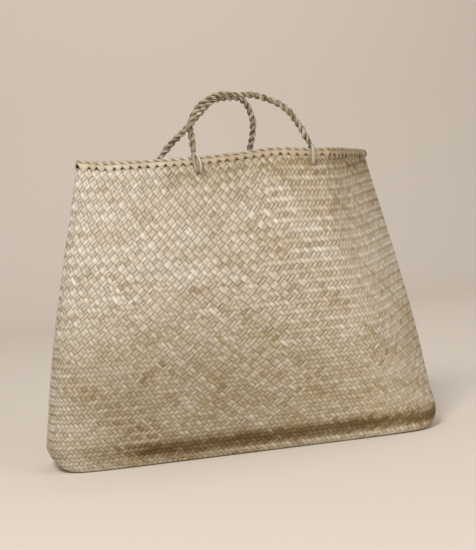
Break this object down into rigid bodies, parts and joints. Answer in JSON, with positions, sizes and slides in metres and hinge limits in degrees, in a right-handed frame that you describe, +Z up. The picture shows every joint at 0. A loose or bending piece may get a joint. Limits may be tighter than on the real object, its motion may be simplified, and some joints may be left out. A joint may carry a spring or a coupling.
{
  "type": "seagrass shopping bag",
  "caption": "Wide-based open shopping bag plaited on the bias from seagrass strands, with a braided rim and two short twisted-rope handles.",
  "frame": {"origin": "middle of the flat base that the bag stands on", "axes": "+X along the bag's length, -Y out of the front wall, +Z up to the mouth"},
  "size_m": [0.5098, 0.1526, 0.4483],
  "materials": {
    "plaited_seagrass": "dry plaited seagrass, cream to straw and olive with tan strands",
    "rim_seagrass": "dry braided seagrass, warm cream",
    "rope_seagrass": "dry twisted seagrass rope, dull olive brown"
  },
  "bodies": {
    "root": {"woven_body": "plaited_seagrass", "braided_rim": "rim_seagrass", "handle_front": "rope_seagrass", "handle_back": "rope_seagrass"}
  },
  "joints": []
}
